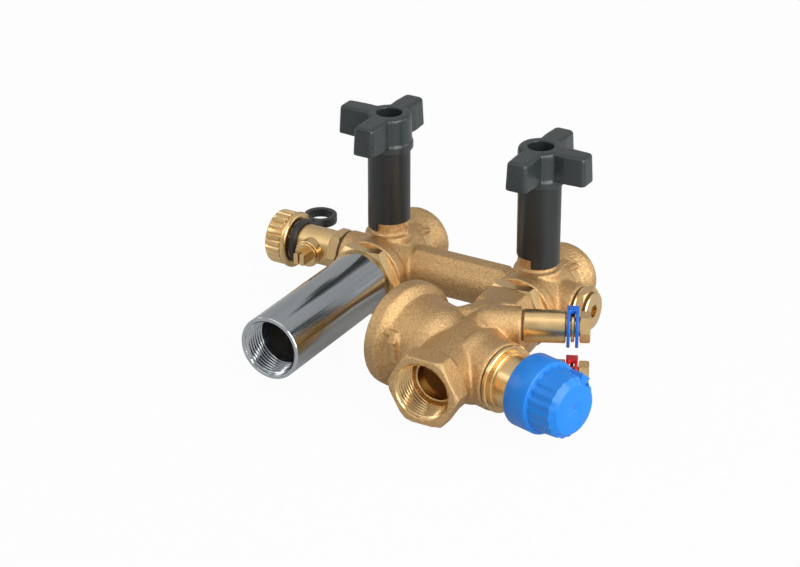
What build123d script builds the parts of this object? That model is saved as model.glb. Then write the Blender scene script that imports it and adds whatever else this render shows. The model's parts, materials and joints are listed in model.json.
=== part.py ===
from build123d import *
import os
from math import cos, radians, sin, sqrt

# Connection set for a terminal unit with a pressure independent control valve, size DN 20.
# Millimetres. The origin is the centre of the right rear port's face. X runs along the
# bypass from the left ball valve to the right one, Y points back out of the rear ports,
# and Z is up along the ball valve stems.

os.makedirs("parts", exist_ok=True)

# Pipe threads, G 3/4: bored to the minor radius, the crests are left out
thread_minor_r = 12.06
thread_depth = 13.0
mouth_chamfer = 1.4
thread_end_gap = 1.0

# Edges broken on turned pieces, and how far the lengths of one solid run into each other
fine_edge = 0.3
small_edge = 0.4
wide_edge = 0.5
overlap = 1.0

# Hexagons: the turned corners, as a share of what the corners stand out by
hex_corner_play = 0.2
hex_turned_share = 0.9
hex_turned_run = 0.6

# Manifold
port_spacing = 80.0
rear_reach = 30.4
housing_r = 16.5
housing_rear = 9.0
housing_front = 14.0
front_rim_r = 17.5
front_rim_length = 6.0
rear_port_r = 16.2
rear_port_length = 3.4
rear_waist_r = 13.5
rear_waist_at = 17.0
rear_flare_slope = -0.25
housing_slope_run = 1.6
housing_slope = 1.2
rear_hex_flats = 27.0
rear_hex_length = 4.5
bypass_r = 10.4
neck_boss_r = 11.5
neck_boss_top = 16.5
neck_r = 8.75
neck_top = 24.6
pad_end_inset = 16.0
pad_width = 6.9
pad_foot_width = 9.2
pad_top = 11.1
drain_branch_r = 11.2
drain_branch_reach = 23.0
vent_branch_r = 11.0
vent_branch_reach = 22.0
branch_thread_r = 8.3
branch_thread_depth = 9.0
cast_edge = 0.8

# Ball valves
ball_r = 12.5
ball_bore_r = 7.5
ball_branch_bore_r = 7.0
cavity_r = 14.0
seat_inner = 7.3
seat_length = 4.2
passage_r = 9.0
stem_r = 5.0
stem_flange_r = 6.5
stem_flange_length = 2.3
stem_flange_inset = 1.0
stem_drive = 7.6
stem_drive_corner = 0.6
stem_drive_rise = 1.0
stem_top = 40.0
tang_width = 4.0
tang_length = 8.5
tang_depth = 2.2
seal_section = 1.8
stem_seal_stations = (1.5, 5.5)

# Running and seating clearances
running_gap = 0.05
flange_gap = 0.1
skirt_gap = 0.25
soft_gap = 0.03

# Tall T handles
sleeve_r = 10.1
sleeve_into_grip = 1.0
sleeve_socket_rise = 1.5
sleeve_drive_play = 0.3
skirt_long_z = 18.5
skirt_short_z = 23.1
skirt_long_angle = 164.0
stop_lug_width = 2.4
stop_lug_reach = 10.6
stop_lug_top = 22.5
hub_collar_r = 11.3
hub_collar_drop = 4.0
grip_bottom = 63.0
grip_height = 13.9
grip_arm_reach = 25.0
grip_arm_root = 11.5
grip_arm_tip = 9.0
grip_hub_r = 10.8
grip_draft = 2.0
grip_round = 1.6
grip_corner_r = 2.0
hub_hole_r = 6.1
hub_floor = 2.5
handle_screw_r = 2.0
handle_screw_head_r = 3.6
handle_screw_head_length = 3.2
handle_screw_grip = 8.0
handle_screw_play = 0.3
handle_screw_socket_flats = 3.0
handle_screw_socket_floor = 1.0

# Front inserts and the spacer tube
insert_flats = 32.0
insert_hex_length = 7.0
nipple_length = 12.0
nipple_edge = 0.8
insert_seal_at = 1.6
tube_r = 15.1
tube_bore_r = 12.8
tube_length = 80.0

# Drain cock, measured outwards from the left ball
drain_drop = 1.3
drain_seal_length = 1.0
drain_seal_wall = 1.4
drain_nut_flats = 19.0
drain_nut_length = 5.6
drain_neck_r = 9.05
drain_body_end = 51.9
drain_tail_r = 10.4
drain_tail_length = 8.0
drain_tail_edge = 0.6
drain_bore_r = 4.5
drain_plug_at = 39.4
drain_plug_r = 5.0
drain_plug_foot = 1.0
drain_plug_bore_r = 3.5
drain_boss_r = 6.6
drain_boss_face = 12.0
drain_disc_r = 5.8
drain_disc_length = 1.0
drain_disc_edge = 0.2
drain_head = 5.6
drain_head_length = 6.0
drain_head_corner = 0.4
drain_slot = 1.1
drain_cap_r = 13.3
drain_cap_length = 12.1
drain_cap_flange_r = 13.8
drain_cap_flange_length = 2.0
drain_cap_end = 2.0
drain_cap_flutes = 30
drain_cap_flute_r = 0.75
drain_cap_flute_offset = 0.35
drain_cap_edge = 0.6
drain_washer_length = 1.4
drain_washer_inset = 0.5
strap_ring_r = 11.2
strap_ring_length = 3.2
strap_at = 49.0
strap_loop_r = 8.2
strap_loop_back = 22.5
strap_loop_out = 52.6
strap_loop_height = 1.5
strap_band = 2.6
strap_band_height = 4.6
strap_tab_start = 9.4
strap_tab_end = 17.0

# Side plug with its vent screw, measured outwards from the right ball
side_collar_r = 10.6
side_collar_length = 1.2
side_hex_flats = 20.0
side_hex_length = 3.6
side_seal_inset = 0.8
vent_head_r = 9.0
vent_head_length = 1.3
vent_thread_r = 4.0
vent_thread_length = 9.0
vent_socket_flats = 5.8
vent_socket_depth = 4.0
vent_seal_length = 0.6
vent_seal_wall = 3.0

# Control valve body, measured forwards from the right ball and along its spindle
valve_centre = 71.9
valve_length = 82.0
spindle_angle = 15.0
port_hex_flats = 32.0
inlet_hex_length = 15.0
outlet_hex_length = 11.0
flow_barrel_r = 16.0
flow_bore_r = 9.5
bell_flange_r = 25.2
bell_flange_end = 38.2
bell_flange_length = 6.8
bell_shoulder_r = 20.9
bell_shoulder_at = 27.6
bell_crown_r = 20.4
bell_crown_at = 14.0
bell_crown_slope = -0.04
bell_waist_r = 15.6
bell_waist_at = 4.0
bell_waist_slope = -0.5
elbow_r = 19.5
elbow_at = 13.0
bonnet_flare_r = 18.0
bonnet_flare_at = 10.0
bonnet_flare_run = 4.0
bonnet_flare_slope = 0.2
bonnet_neck_r = 16.2
bonnet_neck_start = 17.5
bonnet_neck_end = 25.5
bonnet_neck_slope = -0.1
lug_angle = 62.0
lug_width = 3.0
lug_reach = 22.9
lug_length = 5.0
lug_front = 10.0
control_bore_r = 11.0
control_bore_back = 23.0
control_throat_r = 9.0
recess_r = 21.5
recess_end = 29.0
boss_r = 8.6
boss_length = 14.0
boss_thread_r = 4.9
boss_at_x = 18.7
boss_forward = 51.0
boss_height = 12.45
boss_angle = 25.8

# Parts on the spindle line, stations from the valve centre
cover_length = 5.0
cover_inset = 0.4
cover_groove_depth = 1.6
cover_rim = 4.0
cover_boss_r = 9.0
cover_hollow_depth = 2.6
cover_wall = 3.5
diaphragm_thickness = 1.2
plate_r = 13.5
plate_length = 1.2
regulator_rod_r = 2.4
poppet_r = 10.2
poppet_length = 9.0
poppet_back = 20.5
poppet_wall = 1.2
regulator_wire = 1.2
regulator_coil_r = 7.6
regulator_turns = 4
regulator_seat_bore = 7.0
regulator_seat_at = 7.5
regulator_seat_length = 2.5
cage_back = 4.5
cage_front = 10.5
cage_bore_r = 8.6
cage_window = 6.0
cone_r = 8.5
cone_length = 4.0
cone_edge = 0.6
cone_gap = 0.5
valve_spindle_r = 2.0
valve_spindle_tip = 55.0
valve_stroke = 4.0
spindle_collar_length = 1.2
spindle_collar_inset = 0.6
spindle_collar_rim = 1.0
return_wire = 0.9
return_coil_r = 4.6
return_turns = 4
bonnet_back = 12.0
bonnet_floor = 1.5
bonnet_seal_inset = 1.0
bonnet_ring_at = 26.1
bonnet_ring_end = 28.4
bonnet_ring_r = 15.7
bonnet_step_r = 13.6
bonnet_step_end = 30.2
bonnet_waist_r = 12.6
bonnet_head_at = 42.6
bonnet_head_end = 48.4
bonnet_head_r = 14.7
bonnet_head_edge = 0.8
bonnet_spring_r = 6.2
bonnet_spring_end = 24.0
preset_at = 31.4
preset_end = 40.0
preset_wall = 1.5
preset_slots = 12
preset_slot_height = 1.2
preset_slot_width = 1.4
preset_slot_length = 2.6

# Blue hand wheel
knob_back = 40.4
knob_collar_end = 53.0
knob_collar_r = 17.0
knob_collar_edge = 1.1
knob_grip_r = 15.2
knob_grip_taper = 4.5
knob_grip_end = 64.7
knob_face_r = 11.5
knob_face = 67.2
knob_flutes = 20
knob_flute_r = 1.7
knob_flute_depth = 0.6
knob_wall_end = 4.2
knob_inner_r = 12.2
knob_step = 0.3
knob_dimple_r = 0.9
knob_dimple_depth = 0.6
knob_notch_angle = -42.0
knob_notch_width = 7.8
knob_notch_floor = 10.8
knob_notch_end = 57.5
knob_tab_width = 5.6
knob_tab_reach = 15.6
knob_tab_front = 64.4
push_pin_r = 3.0

# Test points, stations from the boss face
plug_r = 7.5
plug_length = 18.9
plug_thread_length = 8.0
plug_bore_r = 1.5
plug_core_gap = 1.0
tag_zone = 6.1
tag_ring_r = 9.6
tag_ring_bore = 6.2
tag_ring_length = 1.5
tag_opening = 70.0
tag_gap = 0.3
tag_bridge_inset = 1.4
tag_bridge_width = 5.0
cap_neck_r = 4.6
cap_disc_r = 6.9
cap_disc_length = 1.6
cap_hex_flats = 12.4
cap_hex_length = 4.9
cap_stub_length = 6.0
core_r = 3.4
core_length = 6.0
test_seal_length = 0.8
test_seal_inset = 0.5

# Lines that the turned parts are built on: x runs along the part, z is up or forwards
right_x = 0.0
left_x = right_x - port_spacing
ball_y = -rear_reach
spindle_y = ball_y - valve_centre
left_flow = Plane(origin=(left_x, ball_y, 0), x_dir=(0, -1, 0), z_dir=(0, 0, 1))
right_flow = Plane(origin=(right_x, ball_y, 0), x_dir=(0, -1, 0), z_dir=(0, 0, 1))
left_stem = Plane(origin=(left_x, ball_y, 0), x_dir=(0, 0, 1), z_dir=(0, -1, 0))
right_stem = Plane(origin=(right_x, ball_y, 0), x_dir=(0, 0, 1), z_dir=(0, -1, 0))
drain_line = Plane(origin=(left_x, ball_y, -drain_drop), x_dir=(-1, 0, 0), z_dir=(0, 0, 1))
vent_line = Plane(origin=(right_x, ball_y, 0), x_dir=(1, 0, 0), z_dir=(0, 0, 1))
spindle_dir = (cos(radians(spindle_angle)), -sin(radians(spindle_angle)), 0)
spindle_line = Plane(origin=(right_x, spindle_y, 0), x_dir=spindle_dir, z_dir=(0, 0, 1))
drain_plug_line = Plane(
    origin=(left_x - drain_plug_at, ball_y, -drain_drop), x_dir=(0, -1, 0), z_dir=(0, 0, 1)
)
boss_dir = (cos(radians(boss_angle)), sin(radians(boss_angle)), 0)
boss_y = ball_y - boss_forward
upper_boss = Plane(origin=(right_x + boss_at_x, boss_y, boss_height), x_dir=boss_dir, z_dir=(0, 0, 1))
lower_boss = Plane(origin=(right_x + boss_at_x, boss_y, -boss_height), x_dir=boss_dir, z_dir=(0, 0, 1))

# Each side: its name, its flow and stem lines, and which way along X points away from the bypass
sides = (("left", left_flow, left_stem, -1), ("right", right_flow, right_stem, 1))
rim_front = housing_front + front_rim_length
hex_front = rim_front + insert_hex_length
seat_outer = seat_inner + seat_length


def across(line, station):
    """The plane square to a line at a station along it, with its x axis along the line's z."""
    return Plane(origin=line.origin + line.x_dir * station, x_dir=line.z_dir, z_dir=line.x_dir)


def turn(line, *outline, mode=Mode.ADD):
    """Turn a closed outline of (station, radius) points about a line."""
    with BuildSketch(line) as profile:
        with BuildLine():
            Polyline(*outline, close=True)
        make_face()
    return revolve(profile.sketch, axis=Axis(line.origin, line.x_dir), mode=mode)


def bar(line, start, end, radius, bore=0.0, mode=Mode.ADD):
    """A round length between two stations, solid or with a bore."""
    return turn(line, (start, bore), (start, radius), (end, radius), (end, bore), mode=mode)


def edged_bar(line, start, end, radius, edge, bore=0.0, mode=Mode.ADD):
    """A round length whose two outer corners are broken by a small chamfer."""
    return turn(
        line,
        (start, bore),
        (start, radius - edge),
        (start + edge, radius),
        (end - edge, radius),
        (end, radius - edge),
        (end, bore),
        mode=mode,
    )


def hexagon(line, start, length, flats, mode=Mode.ADD, angle=30.0):
    """A plain hexagonal length with flats above and below."""
    with BuildSketch(across(line, start)) as profile:
        RegularPolygon(flats / 2, 6, major_radius=False, rotation=angle)
    return extrude(profile.sketch, amount=length, mode=mode)


def nut(line, start, length, flats, mode=Mode.ADD):
    """A hexagonal length whose corners are turned down at both ends."""
    corner = flats / sqrt(3) + hex_corner_play
    drop = (corner - flats / 2) * hex_turned_share
    run = drop * hex_turned_run
    with BuildPart() as blank:
        hexagon(line, start, length, flats)
        turn(
            line,
            (start, 0),
            (start, corner - drop),
            (start + run, corner),
            (start + length - run, corner),
            (start + length, corner - drop),
            (start + length, 0),
            mode=Mode.INTERSECT,
        )
    return add(blank.part, mode=mode)


def threaded_mouth(line, mouth, depth, inward):
    """Bore a thread's minor radius from a mouth station, with a chamfer at the mouth."""
    bottom = mouth + inward * depth
    edge = mouth + inward * mouth_chamfer
    turn(
        line,
        (bottom, 0),
        (bottom, thread_minor_r),
        (edge, thread_minor_r),
        (mouth, thread_minor_r + mouth_chamfer),
        (mouth, 0),
        mode=Mode.SUBTRACT,
    )


def finish(part, name):
    """Name a finished piece and write it."""
    part.label = name
    export_step(part, "parts/" + name + ".step")


# The manifold casting: two ball housings joined by the bypass tube, with rear ports,
# stem necks and one branch on each outer side
with BuildPart() as manifold_body:
    for _, flow, stem, out in sides:
        with BuildSketch(flow):
            with BuildLine():
                bell_start = -rear_waist_at
                bell_end = -rear_reach + rear_port_length
                waist = -housing_rear - (housing_r - rear_waist_r) * housing_slope_run
                l1 = Line((-rear_reach, 0), (-rear_reach, rear_port_r - cast_edge))
                l2 = Line(l1 @ 1, (-rear_reach + cast_edge, rear_port_r))
                l3 = Line(l2 @ 1, (bell_end, rear_port_r))
                l4 = Spline(
                    l3 @ 1, (bell_start, rear_waist_r), tangents=((1, rear_flare_slope), (1, 0))
                )
                l5 = Line(l4 @ 1, (waist, rear_waist_r))
                l6 = Spline(
                    l5 @ 1, (-housing_rear, housing_r), tangents=((1, housing_slope), (1, 0))
                )
                l7 = Line(l6 @ 1, (housing_front, housing_r))
                l8 = Line(l7 @ 1, (housing_front, front_rim_r))
                l9 = Line(l8 @ 1, (rim_front, front_rim_r))
                l10 = Line(l9 @ 1, (rim_front, 0))
                Line(l10 @ 1, l1 @ 0)
            make_face()
        revolve(axis=Axis(flow.origin, flow.x_dir))
        hexagon(flow, waist - rear_hex_length, rear_hex_length, rear_hex_flats)
        edged_bar(stem, 0, neck_boss_top, neck_boss_r, cast_edge)
        edged_bar(stem, 0, neck_top, neck_r, fine_edge)
    bar(vent_line, -port_spacing, 0, bypass_r)
    edged_bar(drain_line, 0, drain_branch_reach, drain_branch_r, small_edge)
    edged_bar(vent_line, 0, vent_branch_reach, vent_branch_r, small_edge)
    # The raised pad along the bypass, wider at its foot
    with BuildSketch(across(vent_line, -port_spacing + pad_end_inset)) as pad_profile:
        Polygon(
            (0, -pad_foot_width / 2),
            (bypass_r - cast_edge, -pad_foot_width / 2),
            (pad_top, -pad_width / 2),
            (pad_top, pad_width / 2),
            (bypass_r - cast_edge, pad_foot_width / 2),
            (0, pad_foot_width / 2),
            align=None,
        )
    extrude(pad_profile.sketch, amount=port_spacing - 2 * pad_end_inset)
    # Stop lugs for the handles, on the inner side of each neck
    for _, flow, stem, out in sides:
        lug_x = flow.origin.X - out * (stop_lug_reach + neck_r - overlap) / 2
        with BuildSketch(Plane.XY.offset(neck_boss_top - overlap)):
            with Locations((lug_x, ball_y)):
                Rectangle(stop_lug_reach - neck_r + overlap, stop_lug_width)
        extrude(amount=stop_lug_top - neck_boss_top + overlap)
    # Waterways
    for _, flow, stem, out in sides:
        bar(flow, -seat_outer, rim_front, cavity_r, mode=Mode.SUBTRACT)
        bar(flow, -rear_waist_at, -seat_outer, passage_r, mode=Mode.SUBTRACT)
        threaded_mouth(flow, -rear_reach, rear_reach - rear_waist_at, 1)
        bar(stem, 0, neck_top, stem_r + running_gap, mode=Mode.SUBTRACT)
        flange_top = cavity_r + stem_flange_length - stem_flange_inset
        bar(stem, 0, flange_top, stem_flange_r + flange_gap, mode=Mode.SUBTRACT)
    bar(vent_line, -port_spacing, 0, ball_bore_r, mode=Mode.SUBTRACT)
    bar(drain_line, 0, drain_branch_reach, ball_bore_r, mode=Mode.SUBTRACT)
    bar(vent_line, 0, vent_branch_reach, ball_bore_r, mode=Mode.SUBTRACT)
    bar(
        drain_line,
        drain_branch_reach - branch_thread_depth,
        drain_branch_reach,
        branch_thread_r,
        mode=Mode.SUBTRACT,
    )
    bar(
        vent_line,
        vent_branch_reach - branch_thread_depth,
        vent_branch_reach,
        branch_thread_r,
        mode=Mode.SUBTRACT,
    )
finish(manifold_body.part, "manifold_body")

# Ball valves, one stack on each side
for side, flow, stem, out in sides:
    centre_x = flow.origin.X

    # Ball with a T bore: open to the front, the rear and the outer branch
    with BuildPart() as ball:
        with Locations(flow.origin):
            Sphere(ball_r)
        bar(flow, -ball_r, ball_r, ball_bore_r, mode=Mode.SUBTRACT)
        branch = drain_line if out < 0 else vent_line
        bar(branch, 0, ball_r, ball_branch_bore_r, mode=Mode.SUBTRACT)
        with BuildSketch(Plane.XY.offset(ball_r - tang_depth)):
            with Locations((centre_x, ball_y)):
                Rectangle(tang_width + 2 * flange_gap, 2 * ball_r)
        extrude(amount=tang_depth, mode=Mode.SUBTRACT)
    finish(ball.part, "ball_" + side)

    # Stem: tang in the ball's slot, flange under the neck, shaft and square drive
    with BuildPart() as stem_bar:
        flange_top = cavity_r + stem_flange_length - stem_flange_inset - flange_gap
        drive_start = neck_top + stem_drive_rise
        bar(stem, ball_r + flange_gap, flange_top, stem_flange_r)
        bar(stem, flange_top, drive_start, stem_r)
        with BuildSketch(Plane.XY.offset(ball_r + flange_gap)):
            with Locations((centre_x, ball_y)):
                Rectangle(tang_width, tang_length)
        extrude(amount=-tang_depth)
        with BuildSketch(Plane.XY.offset(drive_start)):
            with Locations((centre_x, ball_y)):
                RectangleRounded(stem_drive, stem_drive, stem_drive_corner)
        extrude(amount=stem_top - drive_start)
        for seal_station in stem_seal_stations:
            seal_z = flange_top + seal_station
            bar(
                stem,
                seal_z,
                seal_z + seal_section,
                stem_r + overlap,
                stem_r - seal_section / 2,
                mode=Mode.SUBTRACT,
            )
        bar(
            stem,
            stem_top - handle_screw_grip - thread_end_gap,
            stem_top,
            handle_screw_r + running_gap,
            mode=Mode.SUBTRACT,
        )
    finish(stem_bar.part, "stem_" + side)

    # Two sealing rings in the stem's grooves
    with BuildPart() as stem_seals:
        for seal_station in stem_seal_stations:
            seal_z = flange_top + seal_station
            bar(
                stem,
                seal_z + soft_gap,
                seal_z + seal_section - soft_gap,
                stem_r + soft_gap,
                stem_r - seal_section / 2 + soft_gap,
            )
    finish(stem_seals.part, "stem_seals_" + side)

    # Seat rings in front of and behind the ball
    for place, facing in (("front", 1), ("rear", -1)):
        with BuildPart() as seat:
            bar(
                flow,
                min(facing * seat_inner, facing * seat_outer),
                max(facing * seat_inner, facing * seat_outer),
                cavity_r - soft_gap,
                ball_bore_r,
            )
            with Locations(flow.origin):
                Sphere(ball_r + running_gap, mode=Mode.SUBTRACT)
        finish(seat.part, "seat_" + place + "_" + side)

    # Front insert: closes the housing, and its nipple carries the tube or the control valve
    with BuildPart() as front_insert:
        bar(flow, seat_outer, rim_front, cavity_r - soft_gap)
        nut(flow, rim_front, insert_hex_length, insert_flats)
        edged_bar(flow, hex_front, hex_front + nipple_length, thread_minor_r - soft_gap, nipple_edge)
        bar(flow, seat_outer, hex_front + nipple_length, passage_r, mode=Mode.SUBTRACT)
        bar(
            flow,
            rim_front - insert_seal_at - seal_section,
            rim_front - insert_seal_at,
            cavity_r + overlap,
            cavity_r - seal_section / 2,
            mode=Mode.SUBTRACT,
        )
    finish(front_insert.part, "front_insert_" + side)

    with BuildPart() as insert_seal:
        bar(
            flow,
            rim_front - insert_seal_at - seal_section + soft_gap,
            rim_front - insert_seal_at - soft_gap,
            cavity_r - soft_gap,
            cavity_r - seal_section / 2 + soft_gap,
        )
    finish(insert_seal.part, "insert_seal_" + side)

    # Long black sleeve over the neck and the stem; its skirt is cut back on the inner side
    with BuildPart() as handle_sleeve:
        sleeve_top = grip_bottom + sleeve_into_grip
        edged_bar(stem, skirt_long_z, sleeve_top, sleeve_r, wide_edge)
        socket_end = neck_top + sleeve_socket_rise
        bar(stem, skirt_long_z, socket_end, neck_r + skirt_gap, mode=Mode.SUBTRACT)
        with BuildSketch(Plane.XY.offset(skirt_long_z)):
            with Locations((centre_x, ball_y)):
                half = radians(skirt_long_angle / 2)
                far = 2 * sleeve_r
                Polygon(
                    (0, 0),
                    (out * far * cos(half), far * sin(half)),
                    (-out * far, far),
                    (-out * far, -far),
                    (out * far * cos(half), -far * sin(half)),
                )
        extrude(amount=skirt_short_z - skirt_long_z, mode=Mode.SUBTRACT)
        with BuildSketch(Plane.XY.offset(drive_start)):
            with Locations((centre_x, ball_y)):
                drive = stem_drive + 2 * flange_gap
                RectangleRounded(drive, drive, stem_drive_corner)
        extrude(amount=stem_top - drive_start + sleeve_drive_play, mode=Mode.SUBTRACT)
        bar(stem, stem_top, sleeve_top, handle_screw_r + handle_screw_play, mode=Mode.SUBTRACT)
    finish(handle_sleeve.part, "handle_sleeve_" + side)

    # T grip: three arms and a rounded fourth side that faces the other handle
    with BuildPart() as handle_grip:
        with BuildSketch(Plane.XY.offset(grip_bottom)):
            with Locations((centre_x, ball_y)):
                Circle(grip_hub_r)
            for angle in (90 - 90 * out, 90, 270):
                with Locations(Location((centre_x, ball_y, 0), (0, 0, angle))):
                    Polygon(
                        (0, -grip_arm_root / 2),
                        (grip_arm_reach, -grip_arm_tip / 2),
                        (grip_arm_reach, grip_arm_tip / 2),
                        (0, grip_arm_root / 2),
                    )
        extrude(amount=grip_height, taper=grip_draft)
        fillet(handle_grip.edges().filter_by(GeomType.LINE).filter_by(
            lambda e: e.bounding_box().size.Z > grip_height / 2), grip_corner_r)
        fillet(handle_grip.edges().group_by(Axis.Z)[-1], grip_round)
        bar(stem, grip_bottom - hub_collar_drop, grip_bottom, hub_collar_r)
        floor_z = grip_bottom + sleeve_into_grip
        bar(stem, grip_bottom - hub_collar_drop, floor_z, sleeve_r, mode=Mode.SUBTRACT)
        bar(
            stem,
            floor_z + hub_floor,
            grip_bottom + grip_height,
            hub_hole_r,
            mode=Mode.SUBTRACT,
        )
        screw_hole_r = handle_screw_r + handle_screw_play
        bar(stem, floor_z, floor_z + hub_floor, screw_hole_r, mode=Mode.SUBTRACT)
    finish(handle_grip.part, "handle_grip_" + side)

    # Screw that holds grip and sleeve down on the stem
    with BuildPart() as handle_screw:
        seat_z = floor_z + hub_floor
        bar(stem, stem_top - handle_screw_grip, seat_z, handle_screw_r)
        head_end = seat_z + handle_screw_head_length
        edged_bar(stem, seat_z, head_end, handle_screw_head_r, small_edge)
        hexagon(
            stem,
            seat_z + handle_screw_socket_floor,
            handle_screw_head_length,
            handle_screw_socket_flats,
            mode=Mode.SUBTRACT,
        )
    finish(handle_screw.part, "handle_screw_" + side)

# Bright steel spacer tube with an internal thread at each end
with BuildPart() as spacer_tube:
    tube_front = hex_front + tube_length
    edged_bar(left_flow, hex_front, tube_front, tube_r, wide_edge)
    bar(left_flow, hex_front, tube_front, tube_bore_r, mode=Mode.SUBTRACT)
    for end in (hex_front, tube_front - thread_depth):
        bar(left_flow, end, end + thread_depth, tube_bore_r, thread_minor_r)
    turn(
        left_flow,
        (tube_front - mouth_chamfer, 0),
        (tube_front - mouth_chamfer, thread_minor_r),
        (tube_front, thread_minor_r + mouth_chamfer),
        (tube_front, 0),
        mode=Mode.SUBTRACT,
    )
finish(spacer_tube.part, "spacer_tube")

# Drain cock: body with a boss for the plug, screwed into the left branch through a lock nut
nut_start = drain_branch_reach + drain_seal_length
nut_end = nut_start + drain_nut_length
tail_start = drain_body_end
tail_end = tail_start + drain_tail_length
with BuildPart() as drain_body:
    edged_bar(
        drain_line,
        drain_branch_reach - branch_thread_depth + thread_end_gap,
        nut_end + 2 * overlap,
        branch_thread_r - soft_gap,
        wide_edge,
    )
    edged_bar(drain_line, nut_end, drain_body_end, drain_neck_r, wide_edge)
    edged_bar(drain_line, drain_body_end - overlap, tail_end, drain_tail_r, drain_tail_edge)
    edged_bar(drain_plug_line, 0, drain_boss_face, drain_boss_r, fine_edge)
    bar(drain_line, 0, tail_end, drain_bore_r, mode=Mode.SUBTRACT)
    bar(
        drain_plug_line,
        -drain_plug_r - drain_plug_foot,
        drain_boss_face,
        drain_plug_r + running_gap,
        mode=Mode.SUBTRACT,
    )
finish(drain_body.part, "drain_body")

with BuildPart() as drain_lock_nut:
    nut(drain_line, nut_start, drain_nut_length, drain_nut_flats)
    bar(drain_line, nut_start, nut_end, branch_thread_r, mode=Mode.SUBTRACT)
finish(drain_lock_nut.part, "drain_lock_nut")

with BuildPart() as drain_seal:
    seal_r = branch_thread_r + drain_seal_wall
    bar(drain_line, drain_branch_reach, nut_start, seal_r, branch_thread_r)
finish(drain_seal.part, "drain_seal")

# Drain plug: a turned plug with a cross bore, a front disc and a slotted square head
with BuildPart() as drain_plug:
    foot_start = -drain_plug_r - drain_plug_foot + flange_gap
    bar(drain_plug_line, foot_start, drain_boss_face, drain_plug_r)
    disc_start = drain_boss_face + flange_gap
    disc_end = disc_start + drain_disc_length
    bar(drain_plug_line, drain_boss_face, disc_end, drain_plug_r)
    edged_bar(drain_plug_line, disc_start, disc_end, drain_disc_r, drain_disc_edge)
    with BuildSketch(across(drain_plug_line, disc_end)):
        RectangleRounded(drain_head, drain_head, drain_head_corner)
    extrude(amount=drain_head_length)
    with BuildSketch(across(drain_plug_line, disc_end + drain_head_length)):
        Rectangle(drain_head + overlap, drain_slot)
    extrude(amount=-drain_head_length / 2, mode=Mode.SUBTRACT)
    with BuildSketch(Plane.XY.offset(-drain_drop - drain_plug_r)):
        with Locations((left_x - drain_plug_at, ball_y)):
            Circle(drain_plug_bore_r)
    extrude(amount=2 * drain_plug_r, mode=Mode.SUBTRACT)
finish(drain_plug.part, "drain_plug")

# Knurled cap on the drain's tail, with its flat washer
cap_start = tail_end + drain_washer_length + drain_cap_end - drain_cap_length
with BuildPart() as drain_cap:
    cap_end = cap_start + drain_cap_length
    bar(drain_line, cap_start, cap_start + drain_cap_flange_length, drain_cap_flange_r)
    with BuildSketch(across(drain_line, cap_start + drain_cap_flange_length)):
        Circle(drain_cap_r)
        with PolarLocations(drain_cap_r + drain_cap_flute_offset, drain_cap_flutes):
            Circle(drain_cap_flute_r, mode=Mode.SUBTRACT)
    extrude(amount=drain_cap_length - drain_cap_flange_length)
    chamfer(drain_cap.edges().group_by(Axis.X)[0], drain_cap_edge)
    bar(
        drain_line,
        cap_start,
        cap_end - drain_cap_end,
        drain_tail_r + running_gap,
        mode=Mode.SUBTRACT,
    )
finish(drain_cap.part, "drain_cap")

with BuildPart() as drain_cap_washer:
    bar(
        drain_line,
        tail_end + soft_gap,
        tail_end + drain_washer_length - soft_gap,
        drain_tail_r - drain_washer_inset,
        drain_bore_r,
    )
finish(drain_cap_washer.part, "drain_cap_washer")

# Rubber strap: a ring round the drain body and a loop of slack behind it
with BuildPart() as drain_strap:
    ring_start = strap_at - strap_ring_length / 2
    ring_end = ring_start + strap_ring_length
    edged_bar(drain_line, ring_start, ring_end, strap_ring_r, wide_edge, drain_neck_r)
    loop_z = strap_loop_height - strap_band_height / 2
    loop_x = left_x - strap_loop_out
    loop_y = ball_y + strap_loop_back
    ring_x = left_x - ring_start - strap_ring_length / 2
    with BuildSketch(Plane.XY.offset(loop_z)):
        with Locations((ring_x, ball_y + (strap_tab_start + strap_tab_end) / 2)):
            Rectangle(strap_ring_length, strap_tab_end - strap_tab_start)
        with Locations((loop_x, loop_y)):
            Circle(strap_loop_r)
            Circle(strap_loop_r - strap_band, mode=Mode.SUBTRACT)
    extrude(amount=strap_band_height)
    neck_end = drain_body_end - overlap
    bar(drain_line, nut_end, neck_end, drain_neck_r, mode=Mode.SUBTRACT)
    bar(drain_line, neck_end, tail_end, drain_tail_r + overlap, mode=Mode.SUBTRACT)
finish(drain_strap.part, "drain_strap")

# Side plug, its seal and the vent screw in its middle
side_start = vent_branch_reach + test_seal_length
side_collar_end = side_start + side_collar_length
side_hex_end = side_collar_end + side_hex_length
with BuildPart() as side_plug:
    edged_bar(
        vent_line,
        vent_branch_reach - branch_thread_depth + thread_end_gap,
        side_start,
        branch_thread_r - soft_gap,
        wide_edge,
    )
    edged_bar(vent_line, side_start, side_collar_end, side_collar_r, wide_edge)
    nut(vent_line, side_collar_end, side_hex_length, side_hex_flats)
    bar(
        vent_line,
        vent_branch_reach - branch_thread_depth,
        side_hex_end,
        vent_thread_r + running_gap,
        mode=Mode.SUBTRACT,
    )
finish(side_plug.part, "side_plug")

with BuildPart() as side_seal:
    seal_r = side_collar_r - side_seal_inset
    bar(vent_line, vent_branch_reach, side_start, seal_r, branch_thread_r)
finish(side_seal.part, "side_seal")

with BuildPart() as vent_screw:
    head_start = side_hex_end + vent_seal_length
    bar(vent_line, head_start - vent_thread_length, head_start, vent_thread_r)
    edged_bar(vent_line, head_start, head_start + vent_head_length, vent_head_r, wide_edge)
    hexagon(
        vent_line,
        head_start + vent_head_length - vent_socket_depth,
        vent_socket_depth,
        vent_socket_flats,
        mode=Mode.SUBTRACT,
    )
finish(vent_screw.part, "vent_screw")

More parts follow.
